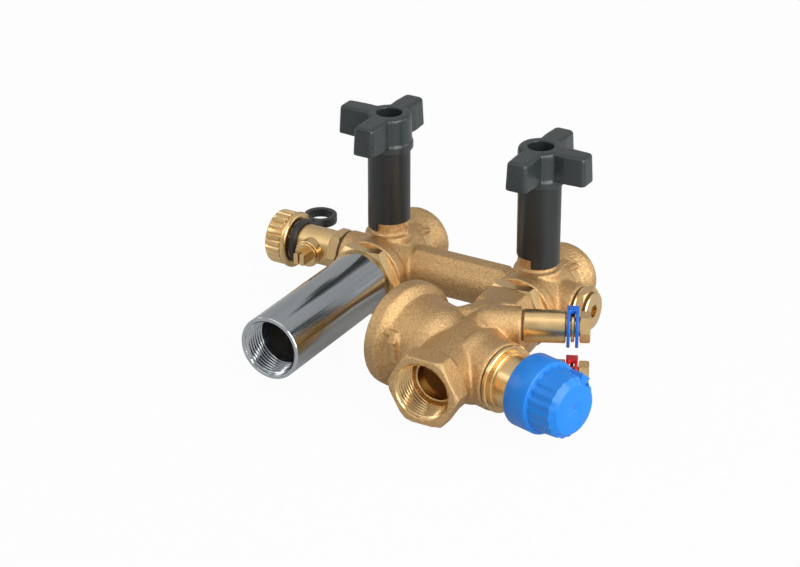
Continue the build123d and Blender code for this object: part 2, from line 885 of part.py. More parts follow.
with BuildPart() as vent_seal:
    bar(
        vent_line,
        side_hex_end + soft_gap,
        side_hex_end + vent_seal_length - soft_gap,
        vent_thread_r + vent_seal_wall,
        vent_thread_r + running_gap,
    )
finish(vent_seal.part, "vent_seal")

# The control valve casting
outlet_face = hex_front + valve_length
inlet_hex_end = hex_front + inlet_hex_length
outlet_hex_start = outlet_face - outlet_hex_length
flange_back = -bell_flange_end + bell_flange_length
with BuildPart() as valve_body:
    nut(right_flow, hex_front, inlet_hex_length, port_hex_flats)
    bar(right_flow, inlet_hex_end - overlap, outlet_hex_start + overlap, flow_barrel_r)
    nut(right_flow, outlet_hex_start, outlet_hex_length, port_hex_flats)
    # Bell on the diaphragm side and neck on the bonnet side
    with BuildSketch(spindle_line):
        with BuildLine():
            m1 = Line((-bell_flange_end, 0), (-bell_flange_end, bell_flange_r - cast_edge))
            m2 = Line(m1 @ 1, (-bell_flange_end + cast_edge, bell_flange_r))
            m3 = Line(m2 @ 1, (flange_back, bell_flange_r))
            m4 = Line(m3 @ 1, (-bell_shoulder_at, bell_shoulder_r))
            m4a = Line(m4 @ 1, (-bell_crown_at, bell_crown_r))
            m4b = Spline(
                m4a @ 1,
                (-bell_waist_at, bell_waist_r),
                tangents=((1, bell_crown_slope), (1, bell_waist_slope)),
            )
            m4c = Line(m4b @ 1, (bonnet_flare_at - bonnet_flare_run, bell_waist_r))
            m4d = Spline(
                m4c @ 1,
                (bonnet_flare_at, bonnet_flare_r),
                tangents=((1, bonnet_flare_slope), (1, bonnet_flare_slope)),
            )
            m5 = Spline(
                m4d @ 1,
                (bonnet_neck_start, bonnet_neck_r),
                tangents=((1, bonnet_neck_slope), (1, 0)),
            )
            m6 = Line(m5 @ 1, (bonnet_neck_end - cast_edge, bonnet_neck_r))
            m7 = Line(m6 @ 1, (bonnet_neck_end, bonnet_neck_r - cast_edge))
            m8 = Line(m7 @ 1, (bonnet_neck_end, 0))
            Line(m8 @ 1, m1 @ 0)
        make_face()
    revolve(axis=Axis(spindle_line.origin, spindle_line.x_dir))
    # The cast elbow from the inlet hexagon into the bell
    with BuildSketch(across(right_flow, inlet_hex_end - overlap)) as elbow_inlet:
        Circle(flow_barrel_r)
    elbow_mouth = Plane(
        origin=spindle_line.origin - spindle_line.x_dir * elbow_at,
        x_dir=spindle_line.z_dir,
        z_dir=-spindle_line.x_dir,
    )
    with BuildSketch(elbow_mouth) as elbow_outlet:
        Circle(elbow_r)
    loft([elbow_inlet.sketch.face(), elbow_outlet.sketch.face()])
    # The small cast lug on the bell's front, below its shoulder
    with BuildSketch(across(spindle_line, flange_back - overlap)):
        with PolarLocations(lug_reach - lug_length / 2, 1, start_angle=lug_angle):
            Rectangle(lug_length, lug_width)
    extrude(amount=lug_front)
    for boss in (upper_boss, lower_boss):
        edged_bar(boss, -boss_length, 0, boss_r, fine_edge)
        with Locations(boss.origin - boss.x_dir * boss_length):
            Sphere(boss_r)
    # Waterways
    threaded_mouth(right_flow, hex_front, thread_depth, 1)
    threaded_mouth(right_flow, outlet_face, thread_depth, -1)
    bar(right_flow, hex_front, outlet_face, flow_bore_r, mode=Mode.SUBTRACT)
    bar(spindle_line, -control_bore_back, bonnet_neck_end, control_bore_r, mode=Mode.SUBTRACT)
    bar(spindle_line, -bell_flange_end, -recess_end, recess_r, mode=Mode.SUBTRACT)
    bar(spindle_line, -recess_end, -control_bore_back, control_throat_r, mode=Mode.SUBTRACT)
    for boss in (upper_boss, lower_boss):
        bar(boss, -boss_length, 0, boss_thread_r, mode=Mode.SUBTRACT)
finish(valve_body.part, "valve_body")

# Diaphragm side: cover, diaphragm, plate and the regulator poppet with its spring
cover_start = -bell_flange_end + cover_inset
cover_end = cover_start + cover_length
with BuildPart() as diaphragm_cover:
    edged_bar(spindle_line, cover_start, cover_end, recess_r - soft_gap, small_edge)
    bar(
        spindle_line,
        cover_start,
        cover_start + cover_groove_depth,
        recess_r - cover_rim,
        cover_boss_r,
        mode=Mode.SUBTRACT,
    )
    hollow_start = cover_end - cover_hollow_depth
    bar(spindle_line, hollow_start, cover_end, recess_r - cover_wall, mode=Mode.SUBTRACT)
finish(diaphragm_cover.part, "diaphragm_cover")

diaphragm_end = cover_end + diaphragm_thickness
with BuildPart() as diaphragm:
    bar(spindle_line, cover_end, diaphragm_end, recess_r - soft_gap, regulator_rod_r)
finish(diaphragm.part, "diaphragm")

with BuildPart() as diaphragm_plate:
    bar(spindle_line, cover_end - plate_length, cover_end, plate_r)
    bar(spindle_line, cover_end, -poppet_back, regulator_rod_r)
finish(diaphragm_plate.part, "diaphragm_plate")

poppet_front = -poppet_back + poppet_length
with BuildPart() as regulator_poppet:
    bar(spindle_line, -poppet_back, poppet_front, poppet_r)
    bar(
        spindle_line,
        -poppet_back + poppet_wall,
        poppet_front,
        poppet_r - poppet_wall,
        mode=Mode.SUBTRACT,
    )
finish(regulator_poppet.part, "regulator_poppet")

seat_front = -regulator_seat_at + regulator_seat_length
with BuildPart() as regulator_seat:
    bar(
        spindle_line,
        -regulator_seat_at,
        seat_front,
        control_bore_r - soft_gap,
        regulator_seat_bore,
    )
finish(regulator_seat.part, "regulator_seat")

spring_start = -poppet_back + poppet_wall
spring_length = -regulator_seat_at - spring_start - 2 * soft_gap
with BuildPart() as regulator_spring:
    foot = spring_start + regulator_wire / 2 + soft_gap
    rise = spring_length - regulator_wire
    with BuildLine():
        coil = Helix(
            rise / regulator_turns,
            rise,
            regulator_coil_r,
            spindle_line.origin + spindle_line.x_dir * foot,
            spindle_dir,
        )
    with BuildSketch(Plane(origin=coil @ 0, z_dir=coil % 0)):
        RegularPolygon(regulator_wire / 2, 6)
    sweep(is_frenet=True)
finish(regulator_spring.part, "regulator_spring")

# Control side: cage, cone on its spindle, return spring and bonnet
with BuildPart() as control_cage:
    bar(spindle_line, -cage_back, cage_front, control_bore_r - soft_gap, cage_bore_r)
    with BuildSketch(across(spindle_line, cage_front)):
        for angle in (45, 135):
            with Locations(Location((0, 0, 0), (0, 0, angle))):
                Rectangle(cage_window, 3 * control_bore_r)
    extrude(amount=-(cage_front - cage_back), mode=Mode.SUBTRACT)
finish(control_cage.part, "control_cage")

cone_start = -cage_back + valve_stroke + cone_gap
with BuildPart() as valve_spindle:
    edged_bar(spindle_line, cone_start, cone_start + cone_length, cone_r, cone_edge)
    edged_bar(spindle_line, cone_start, valve_spindle_tip, valve_spindle_r, fine_edge)
    collar_end = bonnet_spring_end - spindle_collar_inset
    collar_start = collar_end - spindle_collar_length
    bar(spindle_line, collar_start, collar_end, return_coil_r + spindle_collar_rim)
finish(valve_spindle.part, "valve_spindle")

with BuildPart() as bonnet:
    bar(spindle_line, bonnet_back, bonnet_ring_at, control_bore_r - soft_gap)
    edged_bar(spindle_line, bonnet_ring_at, bonnet_ring_end, bonnet_ring_r, wide_edge)
    step_start = bonnet_ring_end - overlap
    edged_bar(spindle_line, step_start, bonnet_step_end, bonnet_step_r, small_edge)
    bar(spindle_line, bonnet_ring_end, bonnet_head_at, bonnet_waist_r)
    edged_bar(spindle_line, bonnet_head_at, bonnet_head_end, bonnet_head_r, bonnet_head_edge)
    bar(
        spindle_line,
        preset_at,
        preset_end,
        bonnet_waist_r + overlap,
        bonnet_waist_r - preset_wall,
        mode=Mode.SUBTRACT,
    )
    bar(
        spindle_line,
        bonnet_back,
        bonnet_head_end,
        valve_spindle_r + running_gap,
        mode=Mode.SUBTRACT,
    )
    bar(
        spindle_line,
        bonnet_back + bonnet_floor,
        bonnet_spring_end,
        bonnet_spring_r,
        mode=Mode.SUBTRACT,
    )
finish(bonnet.part, "bonnet")

return_start = bonnet_back + bonnet_floor
return_length = collar_start - return_start - 2 * soft_gap
with BuildPart() as return_spring:
    foot = return_start + return_wire / 2 + soft_gap
    rise = return_length - return_wire
    with BuildLine():
        coil = Helix(
            rise / return_turns,
            rise,
            return_coil_r,
            spindle_line.origin + spindle_line.x_dir * foot,
            spindle_dir,
        )
    with BuildSketch(Plane(origin=coil @ 0, z_dir=coil % 0)):
        RegularPolygon(return_wire / 2, 6)
    sweep(is_frenet=True)
finish(return_spring.part, "return_spring")

with BuildPart() as bonnet_seal:
    bar(
        spindle_line,
        bonnet_neck_end,
        bonnet_ring_at,
        bonnet_neck_r - bonnet_seal_inset,
        control_bore_r,
    )
finish(bonnet_seal.part, "bonnet_seal")

# Preset ring on the bonnet's waist, with a row of key slots
with BuildPart() as preset_ring:
    bar(
        spindle_line,
        preset_at + running_gap,
        preset_end - running_gap,
        bonnet_waist_r,
        bonnet_waist_r - preset_wall + running_gap,
    )
    with BuildSketch(across(spindle_line, preset_end)):
        with PolarLocations(bonnet_waist_r, preset_slots):
            Rectangle(preset_slot_height, preset_slot_width)
    extrude(amount=-preset_slot_length, mode=Mode.SUBTRACT)
finish(preset_ring.part, "preset_ring")

# Blue hand wheel: smooth collar, fluted grip, chamfered face with a centre dimple
with BuildPart() as hand_wheel:
    edged_bar(spindle_line, knob_back, knob_collar_end, knob_collar_r, knob_collar_edge)
    with BuildSketch(across(spindle_line, knob_collar_end)):
        Circle(knob_grip_r)
        with PolarLocations(knob_grip_r + knob_flute_r - knob_flute_depth, knob_flutes):
            Circle(knob_flute_r, mode=Mode.SUBTRACT)
    extrude(amount=knob_face - knob_collar_end, taper=knob_grip_taper)
    # The bevel round the face
    bevel_back_r = knob_face_r + (knob_face - knob_grip_end)
    turn(
        spindle_line,
        (knob_grip_end, bevel_back_r),
        (knob_face + overlap, knob_face_r - overlap),
        (knob_face + overlap, knob_collar_r),
        (knob_grip_end, knob_collar_r),
        mode=Mode.SUBTRACT,
    )
    bar(
        spindle_line,
        knob_back,
        bonnet_head_end + valve_stroke + knob_step,
        bonnet_head_r + running_gap,
        mode=Mode.SUBTRACT,
    )
    bar(spindle_line, knob_back, knob_face - knob_wall_end, knob_inner_r, mode=Mode.SUBTRACT)
    bar(
        spindle_line,
        knob_face - knob_dimple_depth,
        knob_face,
        knob_dimple_r,
        mode=Mode.SUBTRACT,
    )
    # The notch in the grip and the locking tab that stands in it
    notch_top = knob_collar_r + overlap
    with BuildSketch(across(spindle_line, knob_notch_end)):
        with PolarLocations((knob_notch_floor + notch_top) / 2, 1, start_angle=knob_notch_angle):
            Rectangle(notch_top - knob_notch_floor, knob_notch_width)
    extrude(amount=knob_face - knob_notch_end, mode=Mode.SUBTRACT)
    tab_foot = knob_inner_r + running_gap
    with BuildSketch(across(spindle_line, knob_notch_end - overlap)):
        with PolarLocations((tab_foot + knob_tab_reach) / 2, 1, start_angle=knob_notch_angle):
            Rectangle(knob_tab_reach - tab_foot, knob_tab_width)
    extrude(amount=knob_tab_front - knob_notch_end + overlap)
finish(hand_wheel.part, "hand_wheel")

with BuildPart() as push_pin:
    bar(
        spindle_line,
        valve_spindle_tip + flange_gap,
        knob_face - knob_wall_end - soft_gap,
        push_pin_r,
    )
finish(push_pin.part, "push_pin")

# Two test points: seal, body, core, coloured tag and hexagon cap
for place, line in (("upper", upper_boss), ("lower", lower_boss)):
    plug_end = test_seal_length + plug_length
    with BuildPart() as test_seal:
        bar(line, 0, test_seal_length, plug_r - test_seal_inset, boss_thread_r)
    finish(test_seal.part, "test_seal_" + place)

    with BuildPart() as test_body:
        thread_r = boss_thread_r - soft_gap
        edged_bar(line, -plug_thread_length, test_seal_length, thread_r, wide_edge)
        edged_bar(line, test_seal_length, plug_end, plug_r, small_edge)
        bar(line, -plug_thread_length, plug_end, plug_bore_r, mode=Mode.SUBTRACT)
        bar(
            line,
            plug_end - cap_stub_length - core_length - plug_core_gap,
            plug_end,
            core_r,
            mode=Mode.SUBTRACT,
        )
        bar(
            line,
            plug_end - cap_stub_length - plug_core_gap,
            plug_end,
            cap_neck_r + running_gap,
            mode=Mode.SUBTRACT,
        )
    finish(test_body.part, "test_body_" + place)

    with BuildPart() as test_core:
        core_end = plug_end - cap_stub_length - plug_core_gap
        bar(line, core_end - core_length + soft_gap, core_end, core_r - soft_gap)
    finish(test_core.part, "test_core_" + place)

    # The tag: two open rings joined by a bridge on top
    with BuildPart() as test_tag:
        first = plug_end + flange_gap + tag_gap
        second = plug_end + tag_zone - tag_gap - tag_ring_length
        for start in (first, second):
            bar(line, start, start + tag_ring_length, tag_ring_r, tag_ring_bore)
        with BuildSketch(across(line, first)):
            reach = 2 * tag_ring_r
            spread = radians(tag_opening / 2)
            Polygon(
                (0, 0),
                (-reach * cos(spread), reach * sin(spread)),
                (-reach * cos(spread), -reach * sin(spread)),
            )
        extrude(amount=tag_zone, mode=Mode.SUBTRACT)
        with BuildSketch(across(line, first)):
            bridge_foot = tag_ring_bore + tag_bridge_inset
            with Locations(((tag_ring_r + bridge_foot) / 2, 0)):
                Rectangle(tag_ring_r - bridge_foot, tag_bridge_width)
        extrude(amount=second - first)
    finish(test_tag.part, "test_tag_" + place)

    with BuildPart() as test_cap:
        hex_start = plug_end + tag_zone
        edged_bar(line, plug_end - cap_stub_length, hex_start, cap_neck_r, wide_edge)
        disc_at = plug_end + (tag_zone - cap_disc_length) / 2
        edged_bar(line, disc_at, disc_at + cap_disc_length, cap_disc_r, fine_edge)
        nut(line, hex_start, cap_hex_length, cap_hex_flats)
    finish(test_cap.part, "test_cap_" + place)
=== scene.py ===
import json
import math

import bmesh
import bpy
import numpy as np
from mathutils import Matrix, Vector

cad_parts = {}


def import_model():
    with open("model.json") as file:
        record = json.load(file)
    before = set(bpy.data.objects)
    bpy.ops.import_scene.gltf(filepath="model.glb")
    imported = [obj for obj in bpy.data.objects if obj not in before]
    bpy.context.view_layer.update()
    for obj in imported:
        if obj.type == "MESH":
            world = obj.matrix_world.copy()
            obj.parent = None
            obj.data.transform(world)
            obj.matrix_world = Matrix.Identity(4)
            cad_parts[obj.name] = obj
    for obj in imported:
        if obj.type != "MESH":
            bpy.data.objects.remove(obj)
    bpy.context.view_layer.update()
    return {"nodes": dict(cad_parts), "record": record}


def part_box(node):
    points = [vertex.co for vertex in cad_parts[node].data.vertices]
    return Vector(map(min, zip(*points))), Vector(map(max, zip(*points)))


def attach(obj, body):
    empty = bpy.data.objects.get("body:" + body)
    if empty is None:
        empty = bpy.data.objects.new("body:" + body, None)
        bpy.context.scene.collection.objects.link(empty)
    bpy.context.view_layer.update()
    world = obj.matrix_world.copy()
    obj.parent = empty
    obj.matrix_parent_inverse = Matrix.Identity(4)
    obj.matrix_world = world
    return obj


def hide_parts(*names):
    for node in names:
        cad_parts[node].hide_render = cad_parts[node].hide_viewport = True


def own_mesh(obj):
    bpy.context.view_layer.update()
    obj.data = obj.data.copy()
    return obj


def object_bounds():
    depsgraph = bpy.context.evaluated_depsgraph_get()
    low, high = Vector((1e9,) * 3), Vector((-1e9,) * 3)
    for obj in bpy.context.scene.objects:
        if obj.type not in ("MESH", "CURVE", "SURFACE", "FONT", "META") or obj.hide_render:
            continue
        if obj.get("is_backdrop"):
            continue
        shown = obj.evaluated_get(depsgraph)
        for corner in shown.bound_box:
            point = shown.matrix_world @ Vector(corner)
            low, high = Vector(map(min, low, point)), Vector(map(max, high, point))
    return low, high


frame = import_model()

MM = 0.001
FULL_TURN = 2 * math.pi

# Places and sizes of the set, in millimetres, as the solids have them
LEFT_X = -80.0
RIGHT_X = 0.0
BALL_Y = -30.4
SPINDLE_Y = -102.3
SPINDLE_ANGLE = math.radians(15.0)
SPINDLE_DIR = Vector((math.cos(SPINDLE_ANGLE), -math.sin(SPINDLE_ANGLE), 0))
TUBE_BACK = -57.4
TUBE_FRONT = -137.4
OUTLET_FACE = -139.4
REAR_FACE = 0.0
THREAD_MINOR_R = 12.06
THREAD_MAJOR_R = 13.2
THREAD_PITCH = 1.814
THREAD_SHELL_R = 13.45
MOUTH_CHAMFER = 1.4
THREAD_DEPTH = 13.0
REAR_THREAD_DEPTH = 13.4
TUBE_R = 15.1
TUBE_BORE_R = 12.8

# Machined parts of the castings, as a span of stations and a span of radii in millimetres.
# A manifold port's stations run to the front from its ball, and the neck's run up from it.
ANY_RADIUS = (-math.inf, math.inf)
MANIFOLD_FRONT_RIM = ((16.5, 21), (12, 19))
MANIFOLD_REAR_RIM = ((-31, -29.2), (10, 17))
MANIFOLD_BORE = ((-31, 21), (0, 13.2))
MANIFOLD_NECK = ((18, 26), (0, 9.6))
# The valve's ports are measured from the ball behind it, its flange and neck along the spindle.
VALVE_OUTLET_RIM = ((108.2, 110), (11, 17))
VALVE_INLET_BORE = ((26, 42), (0, 13.3))
VALVE_OUTLET_BORE = ((94, 110), (0, 13.3))
VALVE_FLANGE = ((-39, -37.2), ANY_RADIUS)
VALVE_NECK = ((24.8, 26), ANY_RADIUS)
# The surface passes from cast to machined over this length
MACHINED_SLOPE = 0.4

# How many points go around a turned piece
TURNED_STEPS = 96

# Angles above which an edge stays sharp
NODE_CREASE = math.radians(25)
CAP_CREASE = math.radians(28)
TURNED_CREASE = math.radians(32)
WHEEL_CREASE = math.radians(38)
THREAD_CREASE = math.radians(40)
SOFT_CREASE = math.radians(60)

# The camera that was fitted to the photograph, in metres and degrees
FOCAL_LENGTH = 124.58
SENSOR_WIDTH = 36.0
CAMERA_PLACE = (0.5271, -1.0654, 0.5720)
CAMERA_DOWN = 25.97
CAMERA_TURN = 30.15

# Lamps: bearing and height in degrees, distance and size in metres, and power in watts
LAMP_TARGET = (-0.03, -0.07, 0.02)
LAMPS = (
    ("key", 106, 22, 1.5, 1.3, 25),
    ("front", -160, 60, 1.4, 1.2, 3.4),
    ("left", -112, 24, 1.3, 0.6, 2.2),
    ("right_back", 56, 13, 1.5, 0.7, 2.6),
)

# How light the room is straight below, straight above, and at shares of the way up
ROOM_BELOW = 0.30
ROOM_ABOVE = 0.75
ROOM_LEVELS = ((0.47, 0.35), (0.60, 0.28), (0.80, 0.33), (0.92, 0.60))

# Most of a noise texture's values lie between these
NOISE_LOW = 0.3
NOISE_HIGH = 0.7


def material(name, metallic=0.0, roughness=0.5, color=(0.8, 0.8, 0.8), specular=0.5):
    """A new node material with plain values set on the shader's own sockets."""
    mat = bpy.data.materials.new(name)
    mat.use_nodes = True
    shader = mat.node_tree.nodes["Principled BSDF"]
    shader.inputs["Base Color"].default_value = (*color, 1)
    shader.inputs["Metallic"].default_value = metallic
    shader.inputs["Roughness"].default_value = roughness
    shader.inputs["Specular IOR Level"].default_value = specular
    return mat, mat.node_tree, shader


def noise_node(tree, scale, detail, stretch=(1, 1, 1), roughness=0.5):
    """Noise over the object's own coordinates, with features of about 1 / scale metres."""
    coordinates = tree.nodes.new("ShaderNodeTexCoord")
    mapping = tree.nodes.new("ShaderNodeMapping")
    mapping.inputs["Scale"].default_value = stretch
    texture = tree.nodes.new("ShaderNodeTexNoise")
    texture.inputs["Scale"].default_value = scale
    texture.inputs["Detail"].default_value = detail
    texture.inputs["Roughness"].default_value = roughness
    tree.links.new(coordinates.outputs["Object"], mapping.inputs["Vector"])
    tree.links.new(mapping.outputs["Vector"], texture.inputs["Vector"])
    return texture.outputs["Fac"]


def tint(tree, shader, value, low, high, start=NOISE_LOW, end=NOISE_HIGH):
    """Base colour that runs from low to high as value runs from start to end."""
    node = tree.nodes.new("ShaderNodeValToRGB")
    node.color_ramp.elements[0].position = start
    node.color_ramp.elements[0].color = (*low, 1)
    node.color_ramp.elements[1].position = end
    node.color_ramp.elements[1].color = (*high, 1)
    tree.links.new(value, node.inputs["Fac"])
    tree.links.new(node.outputs["Color"], shader.inputs["Base Color"])


def gloss(tree, shader, value, low, high):
    """Roughness that runs from low to high over the usual values of a noise."""
    node = tree.nodes.new("ShaderNodeMapRange")
    node.inputs["From Min"].default_value = NOISE_LOW
    node.inputs["From Max"].default_value = NOISE_HIGH
    node.inputs["To Min"].default_value = low
    node.inputs["To Max"].default_value = high
    tree.links.new(value, node.inputs["Value"])
    tree.links.new(node.outputs["Result"], shader.inputs["Roughness"])


def bump(tree, shader, height, strength, distance, under=None):
    """A bump on the shader's normal, on top of another bump where one is given."""
    node = tree.nodes.new("ShaderNodeBump")
    node.inputs["Strength"].default_value = strength
    node.inputs["Distance"].default_value = distance
    tree.links.new(height, node.inputs["Height"])
    if under is not None:
        tree.links.new(under.outputs["Normal"], node.inputs["Normal"])
    tree.links.new(node.outputs["Normal"], shader.inputs["Normal"])
    return node


def cast_brass():
    """Sand cast brass: warm, matt and finely grained, with gloss that varies in patches."""
    mat, tree, shader = material("cast_brass", metallic=1.0, roughness=0.45)
    grain = noise_node(tree, scale=1000, detail=4, roughness=0.7)
    tint(tree, shader, grain, (0.50, 0.310, 0.138), (0.72, 0.475, 0.228), start=0.36, end=0.62)
    gloss(tree, shader, noise_node(tree, scale=60, detail=3), 0.36, 0.48)
    lumps = noise_node(tree, scale=300, detail=4)
    coarse = bump(tree, shader, lumps, strength=0.25, distance=0.0005)
    bump(tree, shader, grain, strength=1.0, distance=0.0005, under=coarse)
    return mat


def turned_brass():
    """Turned brass: bright and smooth, with faint tool marks."""
    mat, tree, shader = material("turned_brass", metallic=1.0, roughness=0.24)
    patches = noise_node(tree, scale=90, detail=2)
    tint(tree, shader, patches, (0.76, 0.52, 0.245), (0.82, 0.58, 0.285))
    gloss(tree, shader, patches, 0.25, 0.31)
    bump(tree, shader, noise_node(tree, scale=60, detail=1), strength=0.05, distance=0.00003)
    return mat


def bright_steel():
    """Bright drawn steel with long faint draw marks."""
    mat, tree, shader = material("bright_steel", metallic=1.0, roughness=0.15)
    streaks = noise_node(tree, scale=900, detail=3, stretch=(1, 0.02, 1))
    tint(tree, shader, streaks, (0.44, 0.47, 0.49), (0.50, 0.53, 0.55))
    gloss(tree, shader, streaks, 0.12, 0.20)
    bump(tree, shader, streaks, strength=0.04, distance=0.00003)
    return mat


def plain_metal(name, low, high, roughness):
    """A small metal part with slight variation in colour and gloss."""
    mat, tree, shader = material(name, metallic=1.0, roughness=roughness)
    patches = noise_node(tree, scale=300, detail=2)
    tint(tree, shader, patches, low, high)
    gloss(tree, shader, patches, roughness * 0.8, roughness * 1.3)
    return mat


def moulded(name, low, high, roughness, grain=0.10, specular=0.5):
    """Moulded plastic or rubber with a fine eroded surface."""
    mat, tree, shader = material(name, roughness=roughness, specular=specular)
    tint(tree, shader, noise_node(tree, scale=70, detail=3), low, high)
    fine = noise_node(tree, scale=2200, detail=2)
    gloss(tree, shader, fine, roughness * 0.85, roughness * 1.2)
    bump(tree, shader, fine, strength=grain, distance=0.0001)
    return mat


MATERIALS = {
    "cast_brass": cast_brass(),
    "machined_brass": turned_brass(),
    "chromed_ball": plain_metal("polished_chrome", (0.70, 0.70, 0.71), (0.80, 0.80, 0.81), 0.1),
    "steel_tube": bright_steel(),
    "steel_small": plain_metal("zinc_steel", (0.50, 0.50, 0.50), (0.65, 0.65, 0.65), 0.32),
    "sleeve_plastic": moulded(
        "sleeve_black", (0.010, 0.012, 0.012), (0.015, 0.017, 0.017), 0.36
    ),
    "grip_plastic": moulded(
        "grip_charcoal", (0.021, 0.028, 0.029), (0.027, 0.035, 0.036), 0.27
    ),
    "blue_plastic": moulded(
        "wheel_blue", (0.006, 0.195, 0.66), (0.008, 0.21, 0.71), 0.32, grain=0.05, specular=0.4
    ),
    "blue_tag": moulded("tag_blue", (0.006, 0.11, 0.50), (0.010, 0.14, 0.60), 0.30, grain=0.05),
    "red_tag": moulded("tag_red", (0.50, 0.004, 0.015), (0.62, 0.01, 0.02), 0.35),
    "seat_ptfe": moulded("seat_white", (0.80, 0.80, 0.78), (0.88, 0.88, 0.86), 0.45),
    "rubber": moulded(
        "rubber_black", (0.018, 0.019, 0.020), (0.030, 0.032, 0.034), 0.38, grain=0.2
    ),
}
SEAL_RUBBER = moulded(
    "seal_rubber", (0.10, 0.065, 0.035), (0.14, 0.09, 0.05), 0.6, grain=0.1, specular=0.2
)
TUBE_BORE = plain_metal("tube_bore", (0.52, 0.54, 0.55), (0.56, 0.58, 0.59), 0.42)
THIN_SEALS = (
    "drain_seal", "side_seal", "vent_seal", "bonnet_seal", "test_seal_upper",
    "test_seal_lower", "insert_seal_left", "insert_seal_right",
)
SLOTS = {row["node"]: row["material_slot"] for row in frame["record"]["subparts"]}


def dress(obj, slot):
    """Give a piece or a node one of the materials."""
    obj.data.materials.clear()
    obj.data.materials.append(MATERIALS[slot])


def shade(obj, crease):
    """Smooth shading, with edges above the crease angle kept sharp."""
    mesh = obj.data
    mesh.polygons.foreach_set("use_smooth", [True] * len(mesh.polygons))
    mesh.set_sharp_from_angle(angle=crease)


def new_piece(name, verts, faces, slot, body, crease):
    """A mesh piece from points in millimetres, with its material and its moving body."""
    mesh = bpy.data.meshes.new(name)
    mesh.from_pydata([Vector(v) * MM for v in verts], [], faces)
    obj = bpy.data.objects.new(name, mesh)
    bpy.context.scene.collection.objects.link(obj)
    shade(obj, crease)
    dress(obj, slot)
    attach(obj, body)
    return obj


def line_basis(direction):
    """A line's direction and two unit vectors square to it."""
    axis = Vector(direction).normalized()
    side = axis.cross(Vector((0, 0, 1)))
    if side.length < 0.1:  # the line is nearly upright
        side = axis.cross(Vector((0, 1, 0)))
    side.normalize()
    return axis, side, axis.cross(side).normalized()


def revolved(name, start, basis, stations, around, radius_at, slot, body, crease):
    """A closed piece about a line, made of rings, the last of which joins the first.

    basis is the line's direction and two unit vectors square to it: angles are measured from
    the first of them towards the second. stations holds each ring's place along the line, and
    radius_at(row, angle) gives a ring's radius, by its number, at an angle.
    """
    axis, first, second = basis
    verts = []
    for row, along in enumerate(stations):
        for step in range(around):
            angle = FULL_TURN * step / around
            outward = first * math.cos(angle) + second * math.sin(angle)
            verts.append(start + axis * along + outward * radius_at(row, angle))
    faces = []
    for row in range(len(stations)):
        following = (row + 1) % len(stations)
        for step in range(around):
            beside = (step + 1) % around
            faces.append(
                (row * around + step, row * around + beside,
                 following * around + beside, following * around + step)
            )
    return new_piece(name, verts, faces, slot, body, crease)


def lathe(name, start, direction, outline, slot, body="root", around=TURNED_STEPS):
    """A closed turned piece from (station, radius) points, in millimetres, about a line."""
    return revolved(
        name, Vector(start), line_basis(direction), [along for along, _ in outline], around,
        lambda row, _: outline[row][1], slot, body, TURNED_CREASE,
    )


def fluted(name, start, direction, rows, around, radius_at, slot, body, crease):
    """A closed piece about a level line, whose radius changes with the angle too.

    Each row of rows begins with its station. Angles are measured from straight up.
    """
    axis = Vector(direction).normalized()
    up = Vector((0, 0, 1))
    return revolved(
        name, start, (axis, up, axis.cross(up)), [row[0] for row in rows], around,
        radius_at, slot, body, crease,
    )


def thread_shell(name, mouth, inward, depth, slot, outer_r=THREAD_SHELL_R):
    """An internally threaded lining: a closed tube whose inner wall is the thread's helix.

    mouth is the centre of the port's face and inward the direction into the port, in mm.
    """
    end_gap = 0.2
    least_wall = 0.02
    rows_per_pitch = 8
    # over half a pitch the tooth rises by flank_slope, and what is cut off below 0 and above
    # its full height makes the flat root and crest
    flank_slope = 1.6
    root_cut = 0.3
    length = depth - end_gap
    rows = int(length / THREAD_PITCH * rows_per_pitch)
    stations = [length * row / rows for row in range(rows + 1)] + [length, 0.0]

    def radius_at(row, angle):
        if row > rows:
            return outer_r
        along = stations[row]
        phase = (along / THREAD_PITCH - angle / FULL_TURN) % 1.0
        tooth = flank_slope * (1 - abs(2 * phase - 1)) - root_cut
        tooth = min(1.0, max(0.0, tooth))
        radius = THREAD_MAJOR_R + (THREAD_MINOR_R - THREAD_MAJOR_R) * tooth
        flare = THREAD_MINOR_R + MOUTH_CHAMFER - along
        return min(max(radius, flare), outer_r - least_wall)

    revolved(
        name, mouth, line_basis(inward), stations, TURNED_STEPS, radius_at, slot, "root",
        THREAD_CREASE,
    )


def node_points(obj):
    """The points of a mesh in millimetres, as an array."""
    points = np.empty(len(obj.data.vertices) * 3)
    obj.data.vertices.foreach_get("co", points)
    return points.reshape(-1, 3) / MM


def put_points(obj, points):
    """Write points in millimetres back into a mesh."""
    obj.data.vertices.foreach_set("co", (points * MM).ravel())
    obj.data.update()


def station_and_radius(points, origin, direction):
    """Where points lie along a line, how far from it, and their offsets square to it."""
    axis = np.array(direction, dtype=float)
    axis /= np.linalg.norm(axis)
    offset = points - np.array(origin, dtype=float)
    along = offset @ axis
    radial = offset - along[:, None] * axis
    return along, np.linalg.norm(radial, axis=1), radial


def smooth_points(obj, points, weight, rounds):
    """Move points halfway to the mean of their neighbours, as far as each one's weight says."""
    edges = np.empty(len(obj.data.edges) * 2, dtype=np.int64)
    obj.data.edges.foreach_get("vertices", edges)
    one, other = edges.reshape(-1, 2).T
    count = np.bincount(edges, minlength=len(points)).astype(float)
    count[count == 0] = 1
    for _ in range(rounds):
        total = np.zeros_like(points)
        for column in range(3):
            total[:, column] = (
                np.bincount(one, points[other, column], len(points))
                + np.bincount(other, points[one, column], len(points))
            )
        points = points + (total / count[:, None] - points) * weight[:, None] * 0.5
    return points


